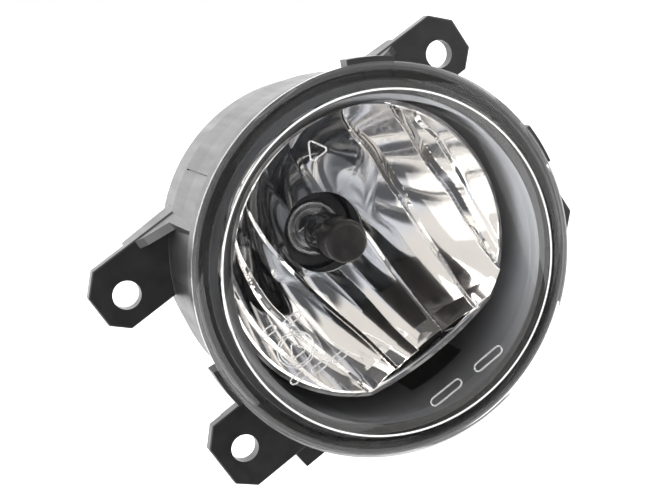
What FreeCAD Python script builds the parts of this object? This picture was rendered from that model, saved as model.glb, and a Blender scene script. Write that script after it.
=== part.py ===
"""Round automotive fog light: housing with four tabs, glued lens, aimable reflector and twist-in bulb.

Working frame, in millimetres: X across the lamp, Y from front to back, Z up.
Y = 0 is the front face of the four mounting tabs, and the lens looks along -Y.
Shapes are drawn about the lens axis and raised by LENS_AXIS_Z when they are written,
so that the origin ends up in the middle of the four tab holes.
"""
import FreeCAD, Part
import math
import os

V = FreeCAD.Vector

# ---- driving dimensions ----
LENS_AXIS_Z = 3.1          # lens axis above the middle of the four tab holes
LENS_R = 50.0              # outer edge of the lens
LENS_EDGE_Y = -41.0        # plane of the lens edge
CREST_R = 43.4             # raised crest round the lens face
CREST_RISE = 3.3           # crest in front of the lens edge
HOLE_SPACING_X = 109.0
HOLE_SPACING_Z = 55.0
HOLE_R = 3.9
TAB_T = 4.0
WALL = 2.6                 # moulded wall thickness
BULB_Z = 2.2               # reflector and bulb axis above the lens axis
TILT_LEVER = 39.7          # pivot axis down to the adjuster axis
PIVOT_Y = 11.0
TWIST_DEG = 45.0           # bulb turn from locked to free
RUN_GAP = 0.05             # radial running clearance
PAST = 1.0                 # how far a cutter runs past the face that it opens

# ---- housing ----
DRUM_R = 47.0
FLANGE_R = 48.7
FLANGE_FRONT_Y = -38.5
FLANGE_BACK_Y = -29.8
BACK_Y = 25.0              # outside of the back wall
BACK_R = 38.5
REAR_R = 45.2
REAR_Y = 18.0
COLLAR_R = 27.0
COLLAR_BORE_R = 24.4
COLLAR_END_Y = 33.0
CHANNEL_IN_R = 45.0        # glue channel for the lens skirt
CHANNEL_OUT_R = 47.4
CHANNEL_DEPTH_Y = -32.5
MOUTH_R = 43.2             # clear opening behind the lens
SEAM_DEG = (117.5, 242.0)  # parting lines of the mould, from +X towards +Z
RIB_T = 2.4                # ribs that brace the tabs
TAB_TOP_Z = 35.0
TAB_LOW_Z = -41.9
BOSS_R = 6.8               # boss round the adjuster screw
WELL_X = 11.0              # half width of the pocket that gives the fork room
VENT_X = 21.1
VENT_Z = -27.7
VENT_R = 3.6
VENT_CAP_R = 4.9
VENT_END_Y = 31.0
MEMBRANE_R = 2.6
PIN_END_X = 43.5
PIN_BOSS_X = 40.0          # inner end of the pivot bosses
UPPER_HOLE_Z = HOLE_SPACING_Z / 2 - LENS_AXIS_Z
LOWER_HOLE_Z = -HOLE_SPACING_Z / 2 - LENS_AXIS_Z

# ---- lens ----
LENS_BACK_Y = -39.0        # back of the lens border
LENS_APEX_Y = -46.2
LENS_T = 2.8               # thickness in the middle
SKIRT_IN_R = 45.5
SKIRT_OUT_R = 47.0
SKIRT_END_Y = -34.0

# ---- reflector ----
BOWL_LATUS = 37.1          # r * r / depth of the paraboloid
BOWL_VERTEX_Y = 11.9
BOWL_FRONT_Y = -26.0
BOWL_T = 2.0
FLOOR_R = 95.0             # radius of the bowed floor panel
FLOOR_Z = -31.5
NECK_R = 16.0
NECK_BORE_R = 11.4
NECK_END_Y = 31.0
CHAMBER_R = 13.6
CHAMBER_Y = (17.5, 22.5)
LEDGE_BACK_Y = 25.0
SEAL_BORE_R = 12.6
NOTCH_DEG = 32.0
LUG_DEG = 24.0
LUG_ANGLES = (30.0, 150.0, 270.0)
EAR_X = (33.0, 39.0)
EAR_R = 5.5
BUSH_R = 4.0
PIN_R = 2.5

# ---- adjuster ----
ADJ_Z = BULB_Z - TILT_LEVER
SCREW_R = 3.0
BOSS_END_Y = 30.0
RING_SEAT_R = 5.05         # counterbore for the seal
HEX_ACROSS = 8.0
NUT_HALF = 4.0
PEG_R = 1.5
SLOT_HALF = 1.65
FORK_X = (4.4, 6.6)
FORK_DEPTH = 5.5           # fork tips below the screw axis
CLIP_Y = (19.7, 20.7)
GROOVE_R = 2.4
HEAD_Y = 30.6              # underside of the screw head

# ---- bulb ----
BULB_R = 5.9
BULB_TIP_Y = -13.0
COLLAR_FACE_Y = 16.6
METAL_R = 7.9
METAL_BACK_Y = 21.0
LEAD_X = 3.0               # lead wires from the bulb axis
LEAD_R = 0.3
BARREL_R = 10.9
FLANGE_Y = (31.4, 34.0)
SHROUD_Y = (38.0, 52.0)
SHROUD_END_X = 34.0
SHROUD_HALF_Z = 10.5
SHROUD_WALL = 1.5
SOCKET_FLOOR_X = 19.0
BLADE_Z = 4.6
GLASS_T = 0.9
GLASS_NECK_Y = 10.5
PINCH = (4.4, 1.5)         # half width and half thickness of the pinch seal
FOCUS_Y = BOWL_VERTEX_Y - BOWL_LATUS / 4
SEAL_Y = 28.0
SEAL_MID_R = 11.6
SEAL_CORD_R = 0.93

# ---- bellows ----
BOOT_HALF_T = 0.6
BOOT_RUNS = ((16.65, 23.0, 31.5), (20.15, 31.5, 29.5), (23.15, 29.5, 33.5), (28.55, 33.5, 27.0))
CUFF_END_Y = 31.0


def revolve(points):
    """Solid of revolution about Y from (radius, y) points; a nested pair is an arc's (middle, end)."""
    edges = []
    first = V(points[0][0], points[0][1], 0)
    start = first
    for item in points[1:]:
        if isinstance(item[0], tuple):
            middle = V(item[0][0], item[0][1], 0)
            end = V(item[1][0], item[1][1], 0)
            edges.append(Part.Arc(start, middle, end).toShape())
        else:
            end = V(item[0], item[1], 0)
            edges.append(Part.LineSegment(start, end).toShape())
        start = end
    edges.append(Part.LineSegment(start, first).toShape())
    face = Part.Face(Part.Wire(edges))
    return face.revolve(V(0, 0, 0), V(0, 1, 0), 360)


def tube(r_out, r_in, y0, y1, x=0.0, z=0.0):
    """Round tube along Y."""
    outer = rod(r_out, y0, y1, x, z)
    return outer.cut(rod(r_in, y0 - PAST, y1 + PAST, x, z))


def rod(r, y0, y1, x=0.0, z=0.0):
    """Round bar along Y."""
    return Part.makeCylinder(r, y1 - y0, V(x, y0, z), V(0, 1, 0))


def rod_x(r, x0, x1, y, z):
    """Round bar along X."""
    return Part.makeCylinder(r, x1 - x0, V(x0, y, z), V(1, 0, 0))


def box(x, y, z):
    """Box from three (low, high) pairs."""
    return Part.makeBox(x[1] - x[0], y[1] - y[0], z[1] - z[0], V(x[0], y[0], z[0]))


def plate(outline, y0, y1):
    """Flat plate in the XZ plane from (x, z) points."""
    wire = Part.makePolygon([V(x, y0, z) for x, z in outline + outline[:1]])
    return Part.Face(wire).extrude(V(0, y1 - y0, 0))


def shelf(outline, z0, z1):
    """Flat plate in the XY plane from (x, y) points."""
    wire = Part.makePolygon([V(x, y, z0) for x, y in outline + outline[:1]])
    return Part.Face(wire).extrude(V(0, 0, z1 - z0))


def sector(r_in, r_out, y0, y1, middle_deg, width_deg, z=0.0):
    """Part of a ring along Y, centred on middle_deg, measured from +X towards +Z."""
    a = math.radians(middle_deg)
    half = math.radians(width_deg / 2)
    reach = r_out / math.cos(half) * 1.2
    wedge = [(0, 0)]
    for side in (-1, 1):
        wedge.append((reach * math.cos(a + side * half), reach * math.sin(a + side * half)))
    cutter = plate(wedge, y0, y1)
    ring = tube(r_out, r_in, y0, y1)
    piece = ring.common(cutter)
    piece.translate(V(0, 0, z))
    return piece


def cap_middle(apex_y, edge_r, edge_y):
    """Point halfway out on the spherical cap from the axis at apex_y to (edge_r, edge_y)."""
    rise = edge_y - apex_y
    sphere_r = (edge_r ** 2 + rise ** 2) / (2 * rise)
    half = edge_r / 2
    return (half, apex_y + sphere_r - math.copysign(math.sqrt(sphere_r ** 2 - half ** 2), rise))


def mirror_x(shape):
    return shape.mirror(V(0, 0, 0), V(1, 0, 0))


def fuse_all(first, others):
    return first.multiFuse(others).removeSplitter()


def bowl_radius(y):
    """Inside radius of the paraboloid at y."""
    return math.sqrt(max(0.0, (BOWL_VERTEX_Y - y) * BOWL_LATUS))


# ---- housing ----

def housing_outside():
    """Drum, front flange, stepped rear edge and back wall, as one full body."""
    draft_y = -12.0
    edge = 0.5
    return revolve([
        (0, FLANGE_FRONT_Y), (FLANGE_R - edge, FLANGE_FRONT_Y), (FLANGE_R, FLANGE_FRONT_Y + edge),
        (FLANGE_R, FLANGE_BACK_Y), (DRUM_R + 0.6, FLANGE_BACK_Y + 0.8), (DRUM_R, draft_y),
        (DRUM_R, 1.0), (DRUM_R - 1.1, TAB_T + 0.2), (REAR_R, REAR_Y),
        ((REAR_R - 1.9, REAR_Y + 5.0), (BACK_R, BACK_Y)), (0, BACK_Y),
    ])


def rear_collar():
    """Collar round the bulb opening, with a bead that the bellows snaps over."""
    bead_r = COLLAR_R + 0.9
    collar = revolve([
        (0, BACK_Y - 1), (COLLAR_R + 1.2, BACK_Y - 1), (COLLAR_R + 1.2, BACK_Y), (COLLAR_R, BACK_Y + 1.2),
        (COLLAR_R, COLLAR_END_Y - 1.8), (bead_r, COLLAR_END_Y - 1.2), (bead_r - 0.4, COLLAR_END_Y),
        (0, COLLAR_END_Y),
    ])
    collar.translate(V(0, 0, BULB_Z))
    return collar


def housing_cavity():
    """Inside of the drum, open at the front."""
    back_y = BACK_Y - WALL
    rear_r = REAR_R - WALL
    return revolve([
        (0, FLANGE_FRONT_Y - PAST), (MOUTH_R, FLANGE_FRONT_Y - PAST), (MOUTH_R, FLANGE_FRONT_Y + PAST),
        (MOUTH_R + 1.1, -28.0), (DRUM_R - WALL - 0.2, 0.0), (rear_r, REAR_Y - 3),
        ((rear_r - 1.8, back_y - 2.0), (BACK_R - 1.5, back_y)), (0, back_y),
    ])


def tab_plate(outline, hole_z):
    """One flat mounting tab with rounded rims and its bolt hole."""
    blank = plate(outline, 0, TAB_T)
    blank = blank.makeFillet(0.5, blank.Edges)
    return blank.cut(rod(HOLE_R, -PAST, TAB_T + PAST, HOLE_SPACING_X / 2, hole_z))


def right_tabs():
    """Both tabs on the +X side, with the ribs that brace them to the drum."""
    upper = tab_plate([
        (30, TAB_TOP_Z), (58, TAB_TOP_Z), (63.2, 29.8), (63.2, 20.6), (58.8, 16.2), (38, 16.2),
    ], UPPER_HOLE_Z)
    lower = tab_plate([
        (38, -19.7), (58, -19.7), (62.6, -24.6), (62.6, -37.2), (57.8, TAB_LOW_Z), (24, TAB_LOW_Z),
    ], LOWER_HOLE_Z)
    top = TAB_TOP_Z - 0.4
    low = TAB_LOW_Z + 0.4
    upper_rib = shelf([
        (30, -8), (33.9, -7.2), (42, -2.6), (45, 1), (47.2, 5), (46.8, 9), (33.6, 11), (30, 11),
    ], top - RIB_T, top)
    fin = shelf([(30, -30), (34.0, -30), (34.6, -6), (30, -6)], top - RIB_T, top)
    lower_rib = shelf([(26, 0), (52, 3), (50, 7), (34, 12), (26, 12)], low, low + RIB_T)
    heel = plate([(36.6, -47.2), (43.8, -47.2), (44.6, -38), (33, -34), (32, -42)], 1.0, 9.0)
    webs = [box((38, 54), (TAB_T - 0.2, TAB_T + 2.6), z) for z in ((17.2, 19.2), (-22.6, -20.6))]
    return [upper, lower, upper_rib, fin, lower_rib, heel] + webs


def rim_lugs():
    """Moulded lugs that stand out behind the lens edge, each from (outer radius, middle, width, length)."""
    front = FLANGE_FRONT_Y + 0.4
    lugs = []
    for reach, middle, width, length in ((51.9, -1.5, 12.4, 6.0), (51.2, 180.5, 12.4, 6.0),
                                         (51.3, 59.0, 14.0, 5.0), (50.7, 12.0, 9.0, 4.0)):
        lugs.append(sector(DRUM_R - 1, reach, front, front + length, middle, width))
    return lugs


def back_ribs():
    """Radial stiffening ribs on the back wall, clear of the bellows cuff."""
    ribs = []
    for turn in (0, 35, 70, 110, 145, 180, 215, 325):
        rib = shelf([(32.2, BACK_Y - 1), (32.2, BACK_Y + 3.6), (34, BACK_Y + 3.2), (41.5, BACK_Y - 1)], -1, 1)
        rib.rotate(V(0, 0, 0), V(0, 1, 0), -turn)
        ribs.append(rib)
    return ribs


def seam_grooves():
    """Shallow grooves where the halves of the mould met, along the drum."""
    line = box((DRUM_R - 0.35, DRUM_R + 2), (FLANGE_BACK_Y + 1.2, -0.5), (-0.2, 0.2))
    grooves = []
    for angle in SEAM_DEG:
        groove = line.copy()
        groove.rotate(V(0, 0, 0), V(0, 1, 0), -angle)
        grooves.append(groove)
    return grooves


def housing_bores():
    """Everything cut from the moulding after the drum has been hollowed."""
    vent_face = VENT_END_Y - 0.6
    return [
        tube(CHANNEL_OUT_R, CHANNEL_IN_R, FLANGE_FRONT_Y - PAST, CHANNEL_DEPTH_Y),
        rod(COLLAR_BORE_R, BACK_Y - 5, COLLAR_END_Y + PAST, 0, BULB_Z),
        box((2 - WELL_X, WELL_X - 2), (-12, 18), (-49.5, -36)),
        box((-6.5, 6.5), (FLANGE_FRONT_Y - PAST, FLANGE_FRONT_Y + 1.8), (CHANNEL_OUT_R + 0.5, LENS_R)),
        rod(SCREW_R + 0.1, REAR_Y, BOSS_END_Y + PAST, 0, ADJ_Z),
        rod(BOSS_R - 1.0, REAR_Y - 4, CLIP_Y[1] + 0.6, 0, ADJ_Z),
        rod(RING_SEAT_R, BOSS_END_Y - 2.0, BOSS_END_Y + PAST, 0, ADJ_Z),
        rod(1.6, BACK_Y - 4, VENT_END_Y + PAST, VENT_X, VENT_Z),
        rod(MEMBRANE_R + 0.1, vent_face, VENT_END_Y + PAST, VENT_X, VENT_Z),
        rod_x(PIN_R, 38, PIN_END_X + 0.1, PIVOT_Y, BULB_Z),
        rod_x(PIN_R, -PIN_END_X - 0.1, -38, PIVOT_Y, BULB_Z),
    ]


def housing():
    """The whole moulding: drum, tabs, lugs, ribs, bosses, glue channel and vent stub."""
    adds = rim_lugs() + back_ribs() + [rear_collar()]
    for piece in right_tabs():
        adds += [piece, mirror_x(piece)]
    well = box((-WELL_X, WELL_X), (-14, 20), (-51.5, -38))
    adds.append(well.makeFillet(2.0, well.Edges))
    adds.append(rod(BOSS_R, REAR_Y, BOSS_END_Y, 0, ADJ_Z))
    adds.append(rod(VENT_R, BACK_Y - 1, VENT_END_Y, VENT_X, VENT_Z))
    body = fuse_all(housing_outside(), adds)
    body = body.cut(housing_cavity())
    pivot_boss = rod_x(6.0, PIN_BOSS_X, DRUM_R - WALL, PIVOT_Y, BULB_Z)
    screw_boss = rod(BOSS_R, CLIP_Y[1] + 0.8, BACK_Y, 0, ADJ_Z)
    body = fuse_all(body, [screw_boss, pivot_boss, mirror_x(pivot_boss)])
    for cutter in housing_bores() + seam_grooves():
        body = body.cut(cutter)
    return body.removeSplitter()


# ---- lens ----

def lens():
    """Clear cover: low dome, raised crest, rounded border and a skirt that sits in the glue channel."""
    crest_y = LENS_EDGE_Y - CREST_RISE
    back_apex = LENS_APEX_Y + LENS_T
    front_edge = (CREST_R - LENS_T, crest_y + 1.1)
    back_edge = (CREST_R - 3.4, LENS_EDGE_Y + 0.3)
    return revolve([
        (0, LENS_APEX_Y), (cap_middle(LENS_APEX_Y, *front_edge), front_edge),
        (CREST_R - 0.35, crest_y + 0.05), ((CREST_R, crest_y - 0.1), (CREST_R + 0.4, crest_y + 0.05)),
        ((47.6, LENS_EDGE_Y - 2.1), (LENS_R, LENS_EDGE_Y + 0.2)),
        (LENS_R, LENS_BACK_Y - 0.6), (LENS_R - 0.6, LENS_BACK_Y), (SKIRT_OUT_R, LENS_BACK_Y),
        (SKIRT_OUT_R, SKIRT_END_Y), (SKIRT_IN_R, SKIRT_END_Y), (SKIRT_IN_R, LENS_BACK_Y - 0.4),
        (CREST_R - 1.0, LENS_BACK_Y - 0.9), back_edge, (cap_middle(back_apex, *back_edge), (0, back_apex)),
    ])


def lens_sealant():
    """Bead of glue that fills the channel round the lens skirt."""
    bead = tube(CHANNEL_OUT_R, CHANNEL_IN_R, LENS_BACK_Y + 1.1, CHANNEL_DEPTH_Y)
    return bead.cut(tube(SKIRT_OUT_R, SKIRT_IN_R, LENS_EDGE_Y, SKIRT_END_Y))


# ---- reflector ----

def paraboloid(offset, y_front):
    """Solid bowl whose wall lies offset outside the reflecting surface."""
    steps = 8
    y_back = BOWL_VERTEX_Y - NECK_BORE_R ** 2 / BOWL_LATUS
    curve_points = []
    for i in range(steps + 1):
        y = y_back + (y_front - y_back) * (i / steps) ** 1.3
        r = bowl_radius(y)
        slope = BOWL_LATUS / (2 * r)
        length = math.hypot(1, slope)
        curve_points.append(V(r + offset / length, y + offset * slope / length, 0))
    curve = Part.BSplineCurve()
    curve.interpolate(curve_points)
    first, last = curve_points[0], curve_points[-1]
    axis_back, axis_front = V(0, first.y, 0), V(0, last.y, 0)
    edges = [
        Part.LineSegment(axis_back, first).toShape(),
        curve.toShape(),
        Part.LineSegment(last, axis_front).toShape(),
        Part.LineSegment(axis_front, axis_back).toShape(),
    ]
    bowl = Part.Face(Part.Wire(edges)).revolve(V(0, 0, 0), V(0, 1, 0), 360)
    bowl.translate(V(0, 0, BULB_Z))
    return bowl


def reflector_fork():
    """Fork that hangs below the neck and straddles the adjuster nut, with the slots for its pegs."""
    x0, x1 = FORK_X
    bottom = ADJ_Z - FORK_DEPTH
    root = BULB_Z - 12
    legs = [box(x, (PIVOT_Y - 4, PIVOT_Y + 4), (bottom, root)) for x in ((x0, x1), (-x1, -x0))]
    web = box((-x1, x1), (PIVOT_Y - 4, PIVOT_Y - 1), (ADJ_Z + 8, root))
    fork = fuse_all(legs[0], [legs[1], web])
    slot = box((-x1 - PAST, x1 + PAST), (PIVOT_Y - SLOT_HALF, PIVOT_Y + SLOT_HALF),
               (bottom - PAST, ADJ_Z + 2.5))
    return fork.cut(slot)


def reflector_ear():
    """Arm on the +X side that carries one pivot bush."""
    arm = shelf([
        (12, 3), (24, 3), (37, PIVOT_Y - 4), (37, PIVOT_Y + 4), (24, PIVOT_Y + 5), (12, PIVOT_Y + 5),
    ], BULB_Z - 1.5, BULB_Z + 1.5)
    rib = box((13, 34), (PIVOT_Y - 1.5, PIVOT_Y + 1.5), (BULB_Z - 4.5, BULB_Z + 4.5))
    eye = rod_x(EAR_R, EAR_X[0], EAR_X[1], PIVOT_Y, BULB_Z)
    return fuse_all(arm, [rib, eye])


def bayonet_bores():
    """Neck bore, lug chamber, seal seat, and the notches that let the lugs in."""
    bores = [
        rod(NECK_BORE_R, 5, NECK_END_Y + PAST, 0, BULB_Z),
        rod(CHAMBER_R, CHAMBER_Y[0], CHAMBER_Y[1], 0, BULB_Z),
        rod(SEAL_BORE_R, LEDGE_BACK_Y, NECK_END_Y + PAST, 0, BULB_Z),
    ]
    for angle in LUG_ANGLES:
        way_in = angle - TWIST_DEG
        bores.append(sector(8.0, CHAMBER_R, CHAMBER_Y[1] - 0.5, NECK_END_Y + PAST, way_in, NOTCH_DEG, BULB_Z))
    return bores


def reflector():
    """Aluminised bowl with its neck, bayonet ledge, pivot ears and adjuster fork."""
    floor_centre = FLOOR_Z + FLOOR_R
    outside = paraboloid(BOWL_T, BOWL_FRONT_Y)
    outside = outside.common(box((-60, 60), (BOWL_FRONT_Y, 30), (-60, 60)))
    outside = outside.common(rod(FLOOR_R + BOWL_T, -60, 60, 0, floor_centre))
    neck = rod(NECK_R, 6.0, NECK_END_Y, 0, BULB_Z)
    ear = reflector_ear()
    body = fuse_all(outside, [neck, ear, mirror_x(ear), reflector_fork()])
    inside = paraboloid(0.0, BOWL_FRONT_Y - PAST)
    inside = inside.common(rod(FLOOR_R, -60, 60, 0, floor_centre))
    bush_bore = rod_x(BUSH_R, EAR_X[0] - PAST, EAR_X[1] + PAST, PIVOT_Y, BULB_Z)
    for cutter in [inside, bush_bore, mirror_x(bush_bore)] + bayonet_bores():
        body = body.cut(cutter)
    return body.removeSplitter()


def pivot_pins():
    """Steel pins pressed into the side bosses of the housing."""
    pin = rod_x(PIN_R, EAR_X[0] + 0.5, PIN_END_X, PIVOT_Y, BULB_Z)
    return [pin, mirror_x(pin)]


def pivot_bushes():
    """Flanged nylon bushes in the ears of the reflector."""
    sleeve = rod_x(BUSH_R, EAR_X[0], EAR_X[1], PIVOT_Y, BULB_Z)
    lip = rod_x(EAR_R, EAR_X[1], EAR_X[1] + 0.6, PIVOT_Y, BULB_Z)
    bore = rod_x(PIN_R + RUN_GAP, EAR_X[0] - PAST, EAR_X[1] + PAST, PIVOT_Y, BULB_Z)
    bush = sleeve.fuse(lip).cut(bore)
    return [bush, mirror_x(bush)]


# ---- adjuster ----

def adjuster_screw():
    """Screw with a hexagon flange head and a cross recess, retained by a clip in its groove."""
    shank = rod(SCREW_R, -1.0, HEAD_Y, 0, ADJ_Z)
    shank = shank.makeChamfer(0.8, [shank.Edges[2]])
    flange = rod(5.9, HEAD_Y, HEAD_Y + 1.2, 0, ADJ_Z)
    corner_r = HEX_ACROSS / math.sqrt(3)
    corners = [math.radians(60 * i) for i in range(6)]
    hexagon = [(corner_r * math.cos(a), ADJ_Z + corner_r * math.sin(a)) for a in corners]
    head = plate(hexagon, HEAD_Y + 1.0, HEAD_Y + 6.0)
    screw = fuse_all(shank, [flange, head])
    screw = screw.cut(tube(SCREW_R + 1, GROOVE_R, CLIP_Y[0], CLIP_Y[1], 0, ADJ_Z))
    long, thin, recess = 2.4, 0.5, (HEAD_Y + 3.5, HEAD_Y + 7)
    for half_x, half_z in ((long, thin), (thin, long)):
        screw = screw.cut(box((-half_x, half_x), recess, (ADJ_Z - half_z, ADJ_Z + half_z)))
    return screw


def adjuster_clip():
    """Open E-shaped spring clip in the groove of the screw."""
    ring = tube(5.2, GROOVE_R + RUN_GAP, CLIP_Y[0] + 0.1, CLIP_Y[1] - 0.1, 0, ADJ_Z)
    mouth = box((-1.7, 1.7), (CLIP_Y[0] - PAST, CLIP_Y[1] + PAST), (ADJ_Z, ADJ_Z + 7))
    return ring.cut(mouth)


def adjuster_washer():
    """Flat washer between the screw head and the boss."""
    return tube(5.6, SCREW_R + 0.15, BOSS_END_Y + RUN_GAP, HEAD_Y - RUN_GAP, 0, ADJ_Z)


def adjuster_o_ring():
    """Seal in the mouth of the boss."""
    middle_r = (SCREW_R + RING_SEAT_R) / 2 + 0.05
    return Part.makeTorus(middle_r, SEAL_CORD_R, V(0, BOSS_END_Y - 1.0, ADJ_Z), V(0, 1, 0))


def adjuster_nut():
    """Travelling nut with two side pegs that sit in the slots of the fork."""
    block = box((-NUT_HALF, NUT_HALF), (PIVOT_Y - NUT_HALF, PIVOT_Y + NUT_HALF), (ADJ_Z - 4.5, ADJ_Z + 4.5))
    block = block.makeFillet(0.5, block.Edges)
    peg_end = FORK_X[1] + 0.4
    pegs = rod_x(PEG_R, -peg_end, peg_end, PIVOT_Y, ADJ_Z)
    bore = rod(SCREW_R + RUN_GAP, 0, PIVOT_Y + 14, 0, ADJ_Z)
    return block.fuse(pegs).cut(bore).removeSplitter()


# ---- bulb ----

def capsule(radius, tip_y, neck_y, corner, neck_r):
    """Outline of the quartz tube: flat tip with a round edge, straight wall, shoulder down to the neck."""
    inset = corner * (1 - math.sqrt(0.5))
    return revolve([
        (0, tip_y), (radius - corner, tip_y), ((radius - inset, tip_y + inset), (radius, tip_y + corner)),
        (radius, neck_y - 3.5), ((radius - 0.8, neck_y - 1.2), (neck_r, neck_y)), (0, neck_y),
    ])


def bulb_glass():
    """Quartz capsule, necked down to a flat pinch seal that the lead wires run into."""
    outer = capsule(BULB_R, BULB_TIP_Y, GLASS_NECK_Y, 1.6, 3.2)
    inner = capsule(BULB_R - GLASS_T, BULB_TIP_Y + GLASS_T, GLASS_NECK_Y - 1.2, 1.4, 2.2)
    half_x, half_z = PINCH
    pinch = box((-half_x, half_x), (GLASS_NECK_Y - 1.0, COLLAR_FACE_Y + 3), (-half_z, half_z))
    pinch = pinch.makeFillet(0.6, pinch.Edges)
    body = outer.fuse(pinch).cut(inner).removeSplitter()
    body.translate(V(0, 0, BULB_Z))
    for lead in bulb_supports():
        body = body.cut(lead)
    return body


def bulb_filament():
    """Tungsten coil, drawn as its outer cylinder, across the focus of the bowl."""
    half = LEAD_X - LEAD_R - 0.1
    return rod_x(0.75, -half, half, FOCUS_Y, BULB_Z)


def bulb_supports():
    """Two lead wires from inside the pinch seal to the ends of the filament."""
    return [rod(LEAD_R, FOCUS_Y - 1.0, GLASS_NECK_Y + 2.5, x, BULB_Z) for x in (-LEAD_X, LEAD_X)]


def bulb_collar():
    """Pressed metal collar that grips the pinch seal and sits in the plastic base."""
    cup = revolve([
        (0, COLLAR_FACE_Y), (METAL_R - 0.8, COLLAR_FACE_Y),
        ((METAL_R - 0.2, COLLAR_FACE_Y + 0.2), (METAL_R, COLLAR_FACE_Y + 0.8)),
        (METAL_R, METAL_BACK_Y), (0, METAL_BACK_Y),
    ])
    cup.translate(V(0, 0, BULB_Z))
    half_x, half_z = PINCH
    slot = box((-half_x, half_x), (COLLAR_FACE_Y - PAST, COLLAR_FACE_Y + 3 + RUN_GAP),
               (BULB_Z - half_z, BULB_Z + half_z))
    return cup.cut(slot)


def connector_shroud():
    """Side-facing connector shroud with a latch ramp on its back face."""
    shroud = box((0, SHROUD_END_X), SHROUD_Y, (BULB_Z - SHROUD_HALF_Z, BULB_Z + SHROUD_HALF_Z))
    long_edges = [e for e in shroud.Edges if abs(e.tangentAt(e.FirstParameter).x) > 0.9]
    shroud = shroud.makeFillet(2.0, long_edges)
    back = SHROUD_Y[1]
    latch = shelf([(20, back - 0.5), (20, back + 0.6), (27.5, back + 2.2), (28, back - 0.5)],
                  BULB_Z - 3.0, BULB_Z + 3.0)
    return shroud.fuse(latch)


def bulb_lugs():
    """Three bayonet lugs on the barrel."""
    y0, y1 = CHAMBER_Y[0] + 1.8, CHAMBER_Y[1] - 0.3
    return [sector(BARREL_R - 0.5, CHAMBER_R - 0.4, y0, y1, angle, LUG_DEG, BULB_Z) for angle in LUG_ANGLES]


def bulb_base():
    """Moulded base: barrel with lugs, sealing flange, round body and the connector shroud."""
    back = SHROUD_Y[1]
    body = [
        rod(15.5, FLANGE_Y[0], FLANGE_Y[1], 0, BULB_Z),
        rod(12.0, FLANGE_Y[1] - 0.5, back - 1.5, 0, BULB_Z),
        rod(10.5, back - 2, back, 0, BULB_Z),
        connector_shroud(),
    ]
    grips = []
    for z in (BULB_Z - 8.5, BULB_Z + 8.5):
        grips.append(box((-9.5, -4), (SHROUD_Y[0] - 2, back - 1.5), (z - 1, z + 1)))
    barrel = rod(BARREL_R, METAL_BACK_Y - 3, FLANGE_Y[0] + 0.5, 0, BULB_Z)
    base = fuse_all(barrel, body + bulb_lugs() + grips)
    socket = box((SOCKET_FLOOR_X, SHROUD_END_X + PAST), (SHROUD_Y[0] + SHROUD_WALL, back - SHROUD_WALL),
                 (BULB_Z - SHROUD_HALF_Z + SHROUD_WALL, BULB_Z + SHROUD_HALF_Z - SHROUD_WALL))
    metal_seat = rod(METAL_R, METAL_BACK_Y - 4, METAL_BACK_Y, 0, BULB_Z)
    ring_groove = seal_ring(SEAL_CORD_R + 0.02)
    for cutter in [socket, metal_seat, ring_groove] + bulb_terminals():
        base = base.cut(cutter)
    return base.removeSplitter()


def seal_ring(cord_r):
    """Ring round the barrel at the seal position."""
    return Part.makeTorus(SEAL_MID_R, cord_r, V(0, SEAL_Y, BULB_Z), V(0, 1, 0))


def bulb_o_ring():
    """Seal between the bulb base and the neck of the reflector."""
    return seal_ring(SEAL_CORD_R)


def bulb_terminals():
    """Two flat blades in the shroud."""
    y = (SHROUD_Y[0] + SHROUD_Y[1]) / 2
    half_width, half_t = 2.4, 0.4
    blades = []
    for z in (BULB_Z - BLADE_Z, BULB_Z + BLADE_Z):
        blades.append(box((14.0, 30.0), (y - half_width, y + half_width), (z - half_t, z + half_t)))
    return blades


# ---- seals and vent ----

def boot_bend(r_a, r_b, y, side):
    """Half ring that joins two runs of the bellows at y, bulging back (side 1) or forward (side -1)."""
    middle = (r_a + r_b) / 2
    radius = (r_b - r_a) / 2
    return revolve([
        (r_a - BOOT_HALF_T, y), ((middle, y + side * (radius + BOOT_HALF_T)), (r_b + BOOT_HALF_T, y)),
        (r_b - BOOT_HALF_T, y), ((middle, y + side * (radius - BOOT_HALF_T)), (r_a + BOOT_HALF_T, y)),
    ])


def neck_boot():
    """Rubber bellows between the neck of the reflector and the collar of the housing."""
    pieces = []
    for r, y_start, y_end in BOOT_RUNS:
        pieces.append(tube(r + BOOT_HALF_T, r - BOOT_HALF_T, min(y_start, y_end), max(y_start, y_end)))
    for i in range(len(BOOT_RUNS) - 1):
        r_a, _, y = BOOT_RUNS[i]
        pieces.append(boot_bend(r_a, BOOT_RUNS[i + 1][0], y, 1 if i % 2 == 0 else -1))
    cuff_r, _, cuff_y = BOOT_RUNS[-1]
    pieces.append(tube(cuff_r + BOOT_HALF_T, COLLAR_R + RUN_GAP, cuff_y, CUFF_END_Y))
    boot = fuse_all(pieces[0], pieces[1:])
    boot.translate(V(0, 0, BULB_Z))
    return boot


def vent_membrane():
    """Porous disc that closes the vent stub."""
    return rod(MEMBRANE_R, VENT_END_Y - 0.55, VENT_END_Y - 0.15, VENT_X, VENT_Z)


def vent_cap():
    """Push-on cap over the vent stub, with side slots that let air in."""
    front_y, back_y = BACK_Y + 1.0, VENT_END_Y + 2.4
    cap = rod(VENT_CAP_R, front_y, back_y, VENT_X, VENT_Z)
    cap = cap.makeFillet(0.8, [e for e in cap.Edges if abs(e.CenterOfMass.y - back_y) < 0.01])
    cap = cap.cut(rod(VENT_R + RUN_GAP, front_y - PAST, VENT_END_Y + 1.0, VENT_X, VENT_Z))
    for turn in (45, 135):
        slot = box((VENT_X - 8, VENT_X + 8), (front_y - PAST, front_y + 1.6), (VENT_Z - 0.9, VENT_Z + 0.9))
        slot.rotate(V(VENT_X, 0, VENT_Z), V(0, 1, 0), turn)
        cap = cap.cut(slot)
    return cap


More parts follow.
